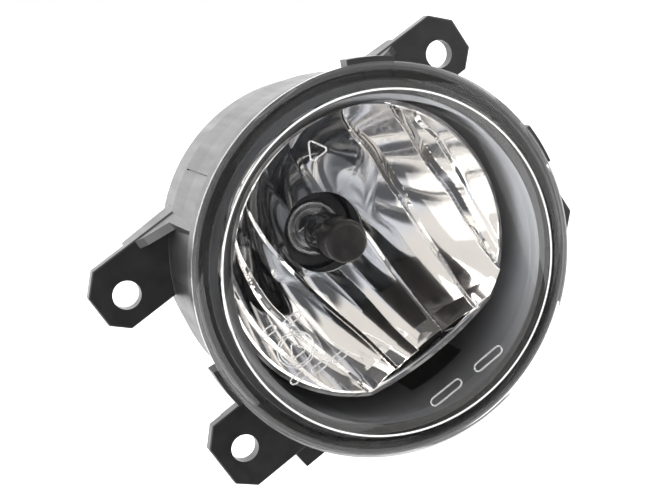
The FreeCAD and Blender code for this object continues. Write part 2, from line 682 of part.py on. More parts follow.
NODES = {
    "housing": housing,
    "lens": lens,
    "lens_sealant": lens_sealant,
    "reflector": reflector,
    "pivot_pins": pivot_pins,
    "pivot_bushes": pivot_bushes,
    "adjuster_screw": adjuster_screw,
    "adjuster_clip": adjuster_clip,
    "adjuster_washer": adjuster_washer,
    "adjuster_o_ring": adjuster_o_ring,
    "adjuster_nut": adjuster_nut,
    "bulb_glass": bulb_glass,
    "bulb_filament": bulb_filament,
    "bulb_supports": bulb_supports,
    "bulb_collar": bulb_collar,
    "bulb_base": bulb_base,
    "bulb_o_ring": bulb_o_ring,
    "bulb_terminals": bulb_terminals,
    "neck_boot": neck_boot,
    "vent_membrane": vent_membrane,
    "vent_cap": vent_cap,
}


def write_parts():
    os.makedirs("parts", exist_ok=True)
    for name, make in NODES.items():
        shape = make()
        if isinstance(shape, list):
            shape = Part.makeCompound(shape)
        shape.translate(V(0, 0, LENS_AXIS_Z))
        shape.exportStep("parts/" + name + ".step")
        print(name, "solids", len(shape.Solids), "valid", shape.isValid(), "volume", round(shape.Volume))


write_parts()
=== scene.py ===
import math

import bmesh
import bpy
from mathutils import Matrix, Vector


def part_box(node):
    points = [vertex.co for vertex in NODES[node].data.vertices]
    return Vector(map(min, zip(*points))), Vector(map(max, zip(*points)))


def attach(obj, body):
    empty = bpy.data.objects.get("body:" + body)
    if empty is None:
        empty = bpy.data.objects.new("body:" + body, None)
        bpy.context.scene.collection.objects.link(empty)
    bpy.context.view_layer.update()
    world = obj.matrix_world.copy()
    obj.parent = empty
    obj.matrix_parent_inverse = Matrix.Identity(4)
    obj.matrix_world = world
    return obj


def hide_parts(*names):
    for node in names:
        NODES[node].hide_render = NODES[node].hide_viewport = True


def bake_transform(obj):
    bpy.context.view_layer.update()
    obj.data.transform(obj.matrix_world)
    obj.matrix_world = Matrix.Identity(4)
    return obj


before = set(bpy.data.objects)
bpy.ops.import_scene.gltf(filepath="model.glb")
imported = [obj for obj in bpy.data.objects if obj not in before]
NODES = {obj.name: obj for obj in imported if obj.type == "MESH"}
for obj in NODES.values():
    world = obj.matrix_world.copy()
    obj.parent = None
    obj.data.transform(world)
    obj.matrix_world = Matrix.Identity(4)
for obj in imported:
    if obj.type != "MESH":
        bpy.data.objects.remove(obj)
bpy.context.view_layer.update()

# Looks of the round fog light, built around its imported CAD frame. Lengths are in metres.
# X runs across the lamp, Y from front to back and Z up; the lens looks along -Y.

MM = 0.001

# ---- driving sizes, read from the frame where it holds them ----

lens_low, lens_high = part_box("lens")
glass_low, glass_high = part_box("bulb_glass")
screw_low, screw_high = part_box("adjuster_screw")

LENS_R = (lens_high.x - lens_low.x) / 2
AXIS_Z = (lens_high.z + lens_low.z) / 2
LENS_APEX_Y = lens_low.y
LENS_EDGE_Y = LENS_APEX_Y + 5.2 * MM
SKIRT_END_Y = lens_high.y
LENS_T = 2.8 * MM          # thickness in the middle
BORDER_T = 2.0 * MM        # from the plane of the lens's edge to the border's back
CREST_R = LENS_R - 6.6 * MM
CREST_Y = LENS_EDGE_Y - 3.3 * MM
DOME_EDGE = (CREST_R - 2.8 * MM, CREST_Y + 1.1 * MM)    # r and y where the dome meets the crest
GLUE_GAP = 0.06 * MM       # between the lens and the glue and flange behind it

BULB_Z = (glass_high.z + glass_low.z) / 2
BULB_R = (glass_high.x - glass_low.x) / 2
BULB_TIP_Y = glass_low.y
BULB_CORNER_R = 1.6 * MM
COATED_LENGTH = 8.2 * MM   # painted end of the glass
COATING_T = 0.04 * MM
COATING_GAP = 0.005 * MM   # between the paint and the glass
COIL_R = 0.62 * MM
COIL_WIRE_R = 0.11 * MM
COIL_TURNS = 14
COLLAR_T = 0.5 * MM

BOWL_LATUS = 37.1 * MM     # r * r / depth of the bowl
BOWL_VERTEX_Y = 11.9 * MM
BOWL_FRONT_Y = -26.0 * MM
BOWL_NECK_R = 11.5 * MM
BOWL_RIM = 0.8 * MM        # width of the rim round the bowl
BOWL_INSET = 0.1 * MM      # the coating ends this far inside the bowl's edge
BORE_R = BOWL_NECK_R - 0.1 * MM
FLOOR_R = 95.0 * MM        # the bowl's lower edge is cut by a floor bowed to this radius
FLOOR_Z = AXIS_Z - 31.5 * MM
FOCUS_Y = BOWL_VERTEX_Y - BOWL_LATUS / 4
SKIN_GAP = 0.16 * MM       # coating in front of the moulding
PANEL_CURVE = 15.0 * MM    # radius of the bowl's panels across
OUTER_PANEL = 8.0 * MM     # width of the outermost panels
TILT_RIGHT = 18.0          # tilt of a panel for each metre that it lies right of the middle
TILT_LEFT = 8.0            # and left of it
STEP_WIDTH = 1.0 * MM      # from one panel down to the next
RIDGE_ROUND = 0.3 * MM
LIP_RISE = 2.8 * MM        # the facets along the bowl's lower edge start this far above it
LIP_SLOPES = (0.32, -0.12, 0.22, 0.4, -0.2, 0.3, 0.1, 0.36, -0.1)

SCREW_Z = (screw_high.z + screw_low.z) / 2
THREAD_R = 3.0 * MM
THREAD_PITCH = 2.0 * MM
THREAD_DEPTH = 0.45 * MM
HEAD_LENGTH = 6.0 * MM
HEAD_CORNER_R = 4.62 * MM
FLANGE_R = 5.9 * MM
FLANGE_T = 1.2 * MM
GROOVE_R = 2.4 * MM
GROOVE_BEFORE_HEAD = (10.9 * MM, 9.9 * MM)
RECESS_HALF = (2.4 * MM, 0.5 * MM)
RECESS_DEPTH = 2.5 * MM

# bounds of the inner wall's painted grey sheen and painted shade
WALL_R = 44.7 * MM         # the drum's inner wall lies within this
WALL_FRONT_Y = LENS_EDGE_Y + 3.2 * MM
WALL_BACK_Y = 11.0 * MM

BOOT_HALF = 0.6 * MM       # half the boot's wall
BOOT_START_Y = 23.0 * MM
FOLD_RS = (16.65 * MM, 20.15 * MM, 23.15 * MM)
FOLD_TURN_YS = (31.5 * MM, 29.5 * MM, 33.5 * MM)
FOLD_STEPS = 16
CUFF_GRIP_R = 27.06 * MM   # the cuff is thicker here, where it grips the housing
CUFF_END_Y = 27.0 * MM
CUFF_STEP_Y = 31.0 * MM
CUFF_TOP_Y = 33.0 * MM

TENT_LEVEL = 2.3           # light from behind and beside the lamp
ROOM_LEVEL = 1.0           # light from the room in front of it
TABLE_LEVEL = 0.14         # light from below, in front
CAMERA_LEVEL = 0.14        # share of that light that comes from round the camera
WHITE = (1.0, 1.0, 1.0)
WARM = (1.0, 0.965, 0.93)
COOL = (0.86, 0.9, 1.0)

# Crest lines between the bowl's panels: (x, z) points in millimetres from the lens axis, top to bottom.
CRESTS = [
    [(-34.0, 20), (-34.5, 0), (-30.5, -20), (-27.0, -28)],
    [(-25.5, 30), (-27.0, 0), (-23.0, -20), (-20.4, -31)],
    [(-17.5, 35), (-16.0, 10), (-13.0, -12), (-10.8, -24), (-11.2, -33)],
    [(-8.5, 36), (-5.0, 12), (-1.8, -16), (-2.8, -27), (-2.4, -34)],
    [(0.6, 33), (4.6, 13), (10.4, -5), (8.4, -19), (5.5, -33)],
    [(16.0, 33), (20.7, 15), (21.5, -2), (19.2, -20), (15.8, -31)],
    [(26.4, 30), (29.5, 17), (30.6, -4), (28.7, -15), (26.9, -24)],
    [(31.6, 20), (34.3, 13), (34.6, 0), (32.5, -14), (30.0, -22)],
]

# Raised outlines on the lens, in millimetres from its axis: dashes as (x, z, length, height), triangles as
# (x, z, side), and the place of a double ring.
DASHES = [
    (-34.6, 6.6, 4.0, 1.7), (-28.2, 5.6, 4.4, 1.7),
    (-35.6, -7.6, 4.2, 1.7), (-29.9, -8.6, 4.2, 1.7), (-24.2, -9.6, 4.2, 1.7),
    (-7.4, -36.0, 9.6, 2.4), (6.6, -36.2, 9.0, 2.4),
]
TRIANGLES = [(-31.9, -1.6, 4.4), (0.5, 35.0, 5.6)]
RING_PLACE = (-31.9, -1.3)
RING_RS = (4.6, 3.9)
BEAD_R = 0.2 * MM


# ---- mesh helpers ----

def add_object(name, data):
    piece = bpy.data.objects.new(name, data)
    bpy.context.scene.collection.objects.link(piece)
    return piece


def mesh_piece(name, vertices, faces, material, sharp_deg=35.0, closed=False):
    """Mesh object with smooth shading, kept sharp where faces meet at more than sharp_deg."""
    data = bpy.data.meshes.new(name)
    data.from_pydata([tuple(v) for v in vertices], [], faces)
    data.validate()
    if closed:
        shell = bmesh.new()
        shell.from_mesh(data)
        bmesh.ops.recalc_face_normals(shell, faces=shell.faces)
        shell.to_mesh(data)
        shell.free()
    data.shade_smooth()
    data.set_sharp_from_angle(angle=math.radians(sharp_deg))
    data.materials.append(material)
    return add_object(name, data)


def arc(start, middle, end, steps):
    """Points after start on the circle through three (r, y) points."""
    (x1, y1), (x2, y2), (x3, y3) = start, middle, end
    d = 2 * (x1 * (y2 - y3) + x2 * (y3 - y1) + x3 * (y1 - y2))
    q1, q2, q3 = x1 * x1 + y1 * y1, x2 * x2 + y2 * y2, x3 * x3 + y3 * y3
    cx = (q1 * (y2 - y3) + q2 * (y3 - y1) + q3 * (y1 - y2)) / d
    cy = (q1 * (x3 - x2) + q2 * (x1 - x3) + q3 * (x2 - x1)) / d
    radius = math.hypot(x1 - cx, y1 - cy)
    a1, a2, a3 = (math.atan2(y - cy, x - cx) for x, y in (start, middle, end))
    turn = (a3 - a1) % (2 * math.pi)
    if (a2 - a1) % (2 * math.pi) > turn:
        turn -= 2 * math.pi
    angles = [a1 + turn * (i + 1) / steps for i in range(steps)]
    return [(cx + radius * math.cos(a), cy + radius * math.sin(a)) for a in angles]


def lathe(name, outline, z, material, segments, sharp_deg=35.0):
    """Closed solid turned about the line x = 0 at height z, from (r, y) points listed round its section."""
    vertices = []
    rings = []
    for r, y in outline:
        if r < 1e-7:
            rings.append([len(vertices)] * segments)
            vertices.append((0.0, y, z))
            continue
        rings.append(list(range(len(vertices), len(vertices) + segments)))
        for k in range(segments):
            a = 2 * math.pi * k / segments
            vertices.append((r * math.cos(a), y, z + r * math.sin(a)))
    faces = []
    for i in range(len(rings)):
        near, far = rings[i], rings[(i + 1) % len(rings)]
        if len(set(near)) == 1 and len(set(far)) == 1:
            continue
        for k in range(segments):
            after = (k + 1) % segments
            corners = [near[k], near[after], far[after], far[k]]
            faces.append(tuple(dict.fromkeys(corners)))
    return mesh_piece(name, vertices, faces, material, sharp_deg, closed=True)


def tube_faces(rings, around):
    """Quads between rings of around vertices each, numbered one ring after another."""
    faces = []
    for i in range(rings - 1):
        near, far = i * around, (i + 1) * around
        for k in range(around):
            after = (k + 1) % around
            faces.append((near + k, far + k, far + after, near + after))
    return faces


# ---- material helpers ----

def mix_colours(tree, share, first, second):
    """Colour going from first to second, each a colour or a socket, as share goes from 0 to 1."""
    mix = tree.nodes.new("ShaderNodeMix")
    mix.data_type = "RGBA"
    tree.links.new(share, mix.inputs["Factor"])
    for key, colour in (("A", first), ("B", second)):
        socket = [s for s in mix.inputs if s.name == key and s.type == "RGBA"][0]
        if isinstance(colour, tuple):
            socket.default_value = (*colour, 1.0)
        else:
            tree.links.new(colour, socket)
    return [s for s in mix.outputs if s.type == "RGBA"][0]


class Surface:
    """One Principled material and the few node patterns that the pieces share."""

    def __init__(self, name, roughness, metallic=0.0, **fixed):
        self.material = bpy.data.materials.new(name)
        self.material.use_nodes = True
        self.tree = self.material.node_tree
        self.shader = self.tree.nodes["Principled BSDF"]
        self.shader.inputs["Roughness"].default_value = roughness
        self.shader.inputs["Metallic"].default_value = metallic
        for socket, value in fixed.items():
            self.shader.inputs[socket.replace("_", " ")].default_value = value
        self.coords = self.node("ShaderNodeTexCoord")
        self.height = None

    def node(self, kind, **settings):
        made = self.tree.nodes.new(kind)
        for key, value in settings.items():
            setattr(made, key, value)
        return made

    def link(self, source, target):
        self.tree.links.new(source, target)

    def stretched(self, scale):
        """Object coordinates multiplied by scale along each axis."""
        mapping = self.node("ShaderNodeMapping")
        mapping.inputs["Scale"].default_value = scale
        self.link(self.coords.outputs["Object"], mapping.inputs["Vector"])
        return mapping.outputs["Vector"]

    def noise(self, scale, detail=3.0, rough=0.5, stretch=(1, 1, 1)):
        pattern = self.node("ShaderNodeTexNoise")
        pattern.inputs["Scale"].default_value = scale
        pattern.inputs["Detail"].default_value = detail
        pattern.inputs["Roughness"].default_value = rough
        self.link(self.stretched(stretch), pattern.inputs["Vector"])
        return pattern.outputs["Fac"]

    def remap(self, value, low, high, start=0.0, stop=1.0):
        ranged = self.node("ShaderNodeMapRange")
        ranged.inputs["From Min"].default_value = low
        ranged.inputs["From Max"].default_value = high
        ranged.inputs["To Min"].default_value = start
        ranged.inputs["To Max"].default_value = stop
        self.link(value, ranged.inputs["Value"])
        return ranged.outputs["Result"]

    def math(self, operation, a, b=None):
        made = self.node("ShaderNodeMath", operation=operation)
        for index, value in enumerate((a, b)):
            if isinstance(value, (int, float)):
                made.inputs[index].default_value = value
            elif value is not None:
                self.link(value, made.inputs[index])
        return made.outputs["Value"]

    def blend(self, share, dark, light):
        return mix_colours(self.tree, share, dark, light)

    def colour(self, share, dark, light):
        self.link(self.blend(share, dark, light), self.shader.inputs["Base Color"])

    def roughness(self, value, low, high):
        self.link(self.remap(value, 0.25, 0.75, low, high), self.shader.inputs["Roughness"])

    def bump(self, value, depth):
        """Relief of depth metres; a second call adds to the first."""
        made = self.node("ShaderNodeBump")
        made.inputs["Distance"].default_value = depth
        self.link(value, made.inputs["Height"])
        if self.height is not None:
            self.link(self.height, made.inputs["Normal"])
        self.height = made.outputs["Normal"]
        self.link(self.height, self.shader.inputs["Normal"])

    def edges(self, radius):
        """1 along edges, 0 elsewhere; edges also look rounded to radius."""
        rounded = self.node("ShaderNodeBevel", samples=6)
        rounded.inputs["Radius"].default_value = radius
        self.height = rounded.outputs["Normal"]
        geometry = self.node("ShaderNodeNewGeometry")
        dot = self.node("ShaderNodeVectorMath", operation="DOT_PRODUCT")
        self.link(rounded.outputs["Normal"], dot.inputs[0])
        self.link(geometry.outputs["Normal"], dot.inputs[1])
        return self.remap(dot.outputs["Value"], 0.99, 0.85)

    def off_line(self, x, z):
        """Distance from the line along Y at x and z."""
        moved = self.node("ShaderNodeVectorMath", operation="SUBTRACT")
        self.link(self.coords.outputs["Object"], moved.inputs[0])
        moved.inputs[1].default_value = (x, 0, z)
        flat = self.node("ShaderNodeVectorMath", operation="MULTIPLY")
        self.link(moved.outputs["Vector"], flat.inputs[0])
        flat.inputs[1].default_value = (1, 0, 1)
        length = self.node("ShaderNodeVectorMath", operation="LENGTH")
        self.link(flat.outputs["Vector"], length.inputs[0])
        return length.outputs["Value"]

    def along_y(self, low, high):
        """0 before low, 1 beyond high, along Y."""
        parts = self.node("ShaderNodeSeparateXYZ")
        self.link(self.coords.outputs["Object"], parts.inputs["Vector"])
        return self.remap(parts.outputs["Y"], low, high)

    def near(self, value, target, width):
        """1 where value is within width of target, falling to 0 at twice that."""
        away = self.math("ABSOLUTE", self.math("SUBTRACT", value, target))
        return self.remap(away, width, 2 * width, 1.0, 0.0)


def black_moulding(name="black_moulding", tone=0.013, rough=(0.3, 0.44), painted_light_inside=False):
    """Black moulded plastic: fine mould grain, flow streaks along Y and paler rubbed edges; the drum's
    inner wall can carry a painted grey sheen and painted shade.
    """
    s = Surface(name, rough[0], Specular_IOR_Level=0.45)
    grain = s.noise(2600, 2.0)
    streaks = s.noise(230, 4.0, 0.6, (1, 0.08, 1))
    clouds = s.noise(40, 3.0)
    tint = s.math("ADD", s.math("MULTIPLY", streaks, 0.5), s.math("MULTIPLY", clouds, 0.5))
    body = s.blend(s.remap(tint, 0.35, 0.65), (tone * 0.8,) * 3, (tone * 1.3, tone * 1.3, tone * 1.32))
    # painted light: grey sheen on the drum's inner wall, fading to painted shade towards the bottom
    if painted_light_inside:
        body = painted_wall_light(s, body, clouds)
    rubbed = s.math("MULTIPLY", s.edges(0.25 * MM), s.remap(s.noise(350, 3.0), 0.4, 0.6, 0.2, 1.0))
    worn = s.blend(rubbed, body, (0.06, 0.06, 0.062))
    s.link(worn, s.shader.inputs["Base Color"])
    s.roughness(streaks, *rough)
    s.bump(grain, 0.001 * MM)
    s.bump(streaks, 0.02 * MM)
    return s.material


def painted_wall_light(s, body, clouds):
    """body, but on the drum's inner wall a painted grey sheen, palest on the right and fading to painted
    shade towards the bottom.
    """
    wall = s.remap(s.off_line(0, AXIS_Z), WALL_R, WALL_R + 0.1 * MM, 1.0, 0.0)
    wall = s.math("MULTIPLY", wall, s.along_y(WALL_FRONT_Y, WALL_FRONT_Y + 1.0 * MM))
    wall = s.math("MULTIPLY", wall, s.along_y(WALL_BACK_Y, WALL_BACK_Y - 2.0 * MM))
    # painted shade: the wall darkens away from its upper right, where less light falls
    painted_shade_fade = s.remap(s.off_line(34 * MM, AXIS_Z + 12 * MM), 24 * MM, 60 * MM)
    # painted sheen: the grey stands for light that the black wall reflects at grazing angles
    grey = s.blend(clouds, (0.35, 0.358, 0.38), (0.41, 0.418, 0.44))
    return s.blend(wall, body, s.blend(painted_shade_fade, grey, (0.14, 0.142, 0.148)))


def glue_bead():
    """Smooth black sealing glue."""
    s = Surface("black_glue", 0.3, Specular_IOR_Level=0.4)
    s.colour(s.noise(120, 3.0), (0.008, 0.008, 0.008), (0.016, 0.016, 0.016))
    s.roughness(s.noise(250, 2.0), 0.24, 0.36)
    s.bump(s.noise(150, 2.0), 0.03 * MM)
    return s.material


def frosted_relief():
    """Raised signs on the lens, slightly frosted."""
    s = Surface("lens_relief", 0.3, Transmission_Weight=0.85, IOR=1.49)
    s.colour(s.noise(300, 2.0), (0.8, 0.8, 0.8), (0.95, 0.95, 0.95))
    s.roughness(s.noise(900, 2.0), 0.05, 0.15)
    s.bump(s.noise(1200, 2.0), 0.004 * MM)
    return s.material


def clear_plastic():
    """Hard-coated clear cover with faint ripples from moulding, and a frosted line along its crest."""
    s = Surface("clear_lens", 0.0, Transmission_Weight=1.0, IOR=1.3)
    s.colour(s.noise(60, 2.0), (0.985, 0.99, 0.99), (1.0, 1.0, 1.0))
    on_crest = s.near(s.off_line(0, AXIS_Z), CREST_R, 0.15 * MM)
    front_only = s.math("SUBTRACT", 1.0, s.along_y(CREST_Y + 1.0 * MM, CREST_Y + 1.1 * MM))
    frosted = s.math("MULTIPLY", on_crest, front_only)
    s.link(s.remap(frosted, 0.0, 1.0, 1.0, 0.15), s.shader.inputs["Transmission Weight"])
    scuffs = s.remap(s.noise(900, 2.0), 0.4, 0.6, 0.0, 0.01)
    rough = s.math("MAXIMUM", s.math("MULTIPLY", frosted, 0.6), scuffs)
    s.link(rough, s.shader.inputs["Roughness"])
    s.bump(s.noise(35, 1.0), 0.004 * MM)
    return s.material


def mirror():
    """Vacuum-coated aluminium with a very faint orange peel."""
    s = Surface("aluminised_mirror", 0.03, metallic=1.0)
    s.colour(s.noise(120, 3.0), (0.86, 0.845, 0.825), (0.93, 0.92, 0.91))
    s.roughness(s.noise(500, 3.0), 0.02, 0.07)
    s.bump(s.noise(260, 2.0), 0.006 * MM)
    return s.material


def reflector_moulding():
    """Black moulding with aluminium overspray behind, mirror-coated on its inner floor and in its bore."""
    s = Surface("reflector_moulding", 0.5)
    spray = s.blend(s.remap(s.noise(180, 4.0), 0.4, 0.6), (0.16, 0.155, 0.15), (0.42, 0.41, 0.4))
    from_bulb = s.off_line(0, BULB_Z)
    body = s.blend(s.remap(from_bulb, 15.0 * MM, 17.5 * MM), (0.06, 0.06, 0.062), spray)
    floor = s.near(s.off_line(0, FLOOR_Z + FLOOR_R), FLOOR_R, 0.25 * MM)
    bore = s.near(from_bulb, BORE_R, 0.15 * MM)
    coated = s.math("MAXIMUM", floor, bore)
    s.colour(coated, body, (0.9, 0.89, 0.87))
    s.link(s.remap(coated, 0.0, 1.0, 0.5, 1.0), s.shader.inputs["Metallic"])
    s.link(s.remap(coated, 0.0, 1.0, 0.48, 0.04), s.shader.inputs["Roughness"])
    s.bump(s.noise(900, 2.0), 0.0008 * MM)
    return s.material


def turned_steel(name, tone, rough=(0.2, 0.36)):
    """Turned or drawn metal with fine rings along Y."""
    s = Surface(name, rough[0], metallic=1.0)
    s.colour(s.remap(s.noise(300, 4.0), 0.35, 0.65), tuple(c * 0.82 for c in tone), tone)
    lathe_marks = s.noise(5200, 2.0, 0.5, (0.05, 1, 0.05))
    s.roughness(lathe_marks, *rough)
    s.bump(lathe_marks, 0.004 * MM)
    return s.material


def soft_rubber(name, tone, bloom):
    """Moulded rubber with a dusty bloom and fine pitting."""
    s = Surface(name, 0.7, Specular_IOR_Level=0.35)
    s.colour(s.remap(s.noise(90, 5.0, 0.6), 0.42, 0.68), tone, bloom)
    s.roughness(s.noise(300, 3.0), 0.55, 0.85)
    s.bump(s.noise(1900, 3.0), 0.03 * MM)
    return s.material


def nylon():
    """Off-white nylon, slightly translucent."""
    s = Surface("white_nylon", 0.45, Subsurface_Weight=0.1)
    s.colour(s.remap(s.noise(150, 4.0), 0.35, 0.65), (0.68, 0.66, 0.6), (0.8, 0.79, 0.74))
    s.roughness(s.noise(500, 2.0), 0.38, 0.55)
    s.bump(s.noise(1500, 2.0), 0.01 * MM)
    return s.material


def quartz():
    """Clear glass with faint drawing waves."""
    s = Surface("quartz", 0.0, Transmission_Weight=1.0, IOR=1.46)
    s.colour(s.noise(200, 2.0), (0.97, 0.98, 0.98), (1.0, 1.0, 1.0))
    s.roughness(s.noise(700, 2.0), 0.0, 0.02)
    s.bump(s.noise(180, 1.0), 0.01 * MM)
    return s.material


def tip_coating():
    """Black heat-proof paint, faintly mottled."""
    s = Surface("tip_coating", 0.35, Specular_IOR_Level=0.35)
    s.colour(s.remap(s.noise(420, 5.0, 0.7), 0.4, 0.65), (0.009, 0.0075, 0.007), (0.022, 0.018, 0.016))
    s.roughness(s.noise(800, 3.0), 0.28, 0.45)
    s.bump(s.noise(1300, 4.0), 0.006 * MM)
    return s.material


def tungsten():
    """Dull grey wire with fine pits."""
    s = Surface("tungsten", 0.35, metallic=1.0)
    s.colour(s.noise(1500, 3.0), (0.25, 0.24, 0.23), (0.42, 0.41, 0.39))
    s.roughness(s.noise(2500, 2.0), 0.25, 0.45)
    s.bump(s.noise(5000, 2.0), 0.004 * MM)
    return s.material


def felt():
    """White fibrous membrane."""
    s = Surface("vent_membrane", 0.9)
    s.colour(s.noise(3000, 4.0), (0.72, 0.72, 0.7), (0.9, 0.9, 0.88))
    s.roughness(s.noise(2500, 2.0), 0.8, 1.0)
    s.bump(s.noise(6000, 3.0), 0.03 * MM)
    return s.material


# ---- bowl of the reflector ----

def crest_x(points, z):
    """x of a crest line at height z, on straight lines between its points."""
    if z >= points[0][1]:
        return points[0][0]
    for (x1, z1), (x2, z2) in zip(points, points[1:]):
        if z >= z2:
            t = (z1 - z) / (z1 - z2)
            return x1 + (x2 - x1) * t
    return points[-1][0]


def smooth_crests():
    """Rounded crest lines, as a function that gives the list of their x at a height."""
    step, low, high = 0.5, -42.0, 42.0
    rounds = 60
    count = int((high - low) / step) + 1
    lines = []
    for points in CRESTS:
        xs = [crest_x(points, low + i * step) for i in range(count)]
        for _ in range(rounds):
            smoothed = [(xs[i - 1] + 2 * xs[i] + xs[i + 1]) / 4 for i in range(1, count - 1)]
            xs = [xs[0]] + smoothed + [xs[-1]]
        lines.append(xs)

    def at(z):
        place = min(max((z / MM - low) / step, 0.0), count - 1.001)
        i = int(place)
        share = place - i
        return [(xs[i] * (1 - share) + xs[i + 1] * share) * MM for xs in lines]

    return at


CREST_AT = smooth_crests()


def flute(x, z):
    """Height of the coating's panels in front of the plain bowl at x and z, z being from the lens axis.

    Each panel is hollow across, stands forward at its outer edge and steps back to the next one.
    """
    crests = CREST_AT(z)
    edges = [crests[0] - OUTER_PANEL] + crests + [crests[-1] + OUTER_PANEL]
    for left, right in zip(edges, edges[1:]):
        if x < right:
            break
    middle, width = (left + right) / 2, right - left
    near_edge = min(abs(x - left), abs(right - x))
    near_edge = math.sqrt(near_edge * near_edge + RIDGE_ROUND * RIDGE_ROUND)
    hollow = max(0.0, width / 2 - near_edge) ** 2 / (2 * PANEL_CURVE)
    inner, outer = (x - left, right - x) if middle > 0 else (right - x, x - left)
    ramp = min(inner, outer * (width - STEP_WIDTH) / STEP_WIDTH)
    tilt = TILT_RIGHT * middle if middle > 0 else TILT_LEFT * -middle
    return hollow + tilt * max(0.0, ramp)


def bowl_depth(x, z):
    """y of the fluted coating at x and z, z being from the lens axis."""
    height = z - (BULB_Z - AXIS_Z)
    plain = BOWL_VERTEX_Y - (x * x + height * height) / BOWL_LATUS
    return plain - SKIN_GAP - flute(x, z)


def lip_height(x):
    """z of the bowl's lower edge at x, from the lens axis."""
    centre = FLOOR_Z - AXIS_Z + FLOOR_R
    return centre - math.sqrt(FLOOR_R ** 2 - x * x)


def skin_point(x, z):
    """Point of the coating at x and z, with the facets along the bowl's lower edge."""
    y = bowl_depth(x, z)
    below = lip_height(x) + LIP_RISE - z
    if below > 0:
        panel = sum(1 for crest in CREST_AT(z) if crest < x)
        y -= LIP_SLOPES[panel] * below
    return Vector((x, y, z + AXIS_Z))


def bowl_edge(angle):
    """Distance from the bulb axis to the coating's edge in the direction angle, at the rim or the floor."""
    round_edge = math.sqrt((BOWL_VERTEX_Y - BOWL_FRONT_Y) * BOWL_LATUS) - BOWL_INSET
    if math.sin(angle) >= 0:
        return round_edge
    low, high = 0.0, round_edge
    for _ in range(40):
        r = (low + high) / 2
        x = r * math.cos(angle)
        if BULB_Z - AXIS_Z + r * math.sin(angle) > lip_height(x) + BOWL_INSET:
            low = r
        else:
            high = r
    return low


def skin_normal(x, z):
    """Direction in which the coating faces at x and z."""
    nudge = 0.02 * MM
    here = skin_point(x, z)
    right = skin_point(x + nudge, z)
    up = skin_point(x, z + nudge)
    return (right - here).cross(up - here).normalized()


def reflector_mirror(material):
    """Coating on the bowl, with its rim turned over the front of the moulding."""
    around, out = 800, 120
    turns = [2 * math.pi * k / around for k in range(around)]
    edges = [bowl_edge(a) for a in turns]
    front, normals = [], []
    for i in range(out + 1):
        for a, edge in zip(turns, edges):
            r = BOWL_NECK_R + (edge - BOWL_NECK_R) * i / out
            x, z = r * math.cos(a), BULB_Z - AXIS_Z + r * math.sin(a)
            front.append(skin_point(x, z))
            normals.append(skin_normal(x, z))
    outward = [Vector((math.cos(a), 0, math.sin(a))) for a in turns]
    rim_front = []
    for spot, direction in zip(front[-around:], outward):
        rim_front.append(Vector((spot.x, BOWL_FRONT_Y - 0.3 * MM, spot.z)) + direction * BOWL_RIM)
    rim_back = [spot + Vector((0, 0.5 * MM, 0)) for spot in rim_front]
    vertices = front + rim_front + rim_back
    piece = mesh_piece("reflector_mirror", vertices, tube_faces(out + 3, around), material, 180)
    normals += [Vector((0, -1, 0))] * around + outward
    piece.data.normals_split_custom_set_from_vertices([tuple(n) for n in normals])
    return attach(piece, "reflector_unit")


# ---- lens ----

def lens_cover(material):
    """Clear cover: low dome, crest, rounded border and the skirt that sits in the glue channel."""
    edge_back = LENS_EDGE_Y + BORDER_T - GLUE_GAP
    back_edge = (CREST_R - 3.4 * MM, LENS_EDGE_Y + 0.3 * MM)
    back_apex = LENS_APEX_Y + LENS_T
    skirt_in, skirt_out = LENS_R - 4.5 * MM + GLUE_GAP, LENS_R - 3.0 * MM - GLUE_GAP
    skirt_end = SKIRT_END_Y - GLUE_GAP
    crest_start = (CREST_R - 0.35 * MM, CREST_Y + 0.05 * MM)
    crest_top = (CREST_R, CREST_Y - 0.1 * MM)
    crest_end = (CREST_R + 0.4 * MM, CREST_Y + 0.05 * MM)
    border_middle = (LENS_R - 2.4 * MM, LENS_EDGE_Y - 2.1 * MM)
    border_end = (LENS_R, LENS_EDGE_Y + 0.2 * MM)
    corner_start = (LENS_R, edge_back - 0.6 * MM)
    corner_middle = (LENS_R - 0.18 * MM, edge_back - 0.18 * MM)
    corner_end = (LENS_R - 0.6 * MM, edge_back)
    outline = [(0.0, LENS_APEX_Y)]
    outline += dome(LENS_APEX_Y, DOME_EDGE, 24)
    outline += [crest_start]
    outline += arc(crest_start, crest_top, crest_end, 8)
    outline += arc(crest_end, border_middle, border_end, 20)
    outline += [corner_start]
    outline += arc(corner_start, corner_middle, corner_end, 6)
    outline += [(skirt_out, edge_back), (skirt_out, skirt_end), (skirt_in, skirt_end)]
    outline += [(skirt_in, edge_back - 0.4 * MM), (CREST_R - 1.0 * MM, edge_back - 0.9 * MM), back_edge]
    outline += dome(back_apex, back_edge, 24)[-2::-1]
    outline += [(0.0, back_apex)]
    piece = lathe("clear_lens", outline, AXIS_Z, material, 360, 25)
    piece.visible_shadow = False
    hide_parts("lens")
    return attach(piece, "lamp_body")


def dome_y(apex_y, edge, r):
    """y at radius r of the sphere through (0, apex_y) and edge."""
    edge_r, edge_y = edge
    rise = edge_y - apex_y
    sphere = (edge_r ** 2 + rise ** 2) / (2 * rise)
    return apex_y + sphere - math.sqrt(sphere ** 2 - r ** 2)


def dome(apex_y, edge, steps):
    """Points after the apex on the sphere through (0, apex_y) and edge."""
    radii = [edge[0] * i / steps for i in range(1, steps + 1)]
    return [(r, dome_y(apex_y, edge, r)) for r in radii]


def stadium(x, z, length, height):
    """Outline of a dash with round ends."""
    r = height / 2
    points = []
    for side, start in ((1, -90), (-1, 90)):
        for step in range(13):
            a = math.radians(start + 15 * step)
            points.append((x + side * (length / 2 - r) + r * math.cos(a), z + r * math.sin(a)))
    return points


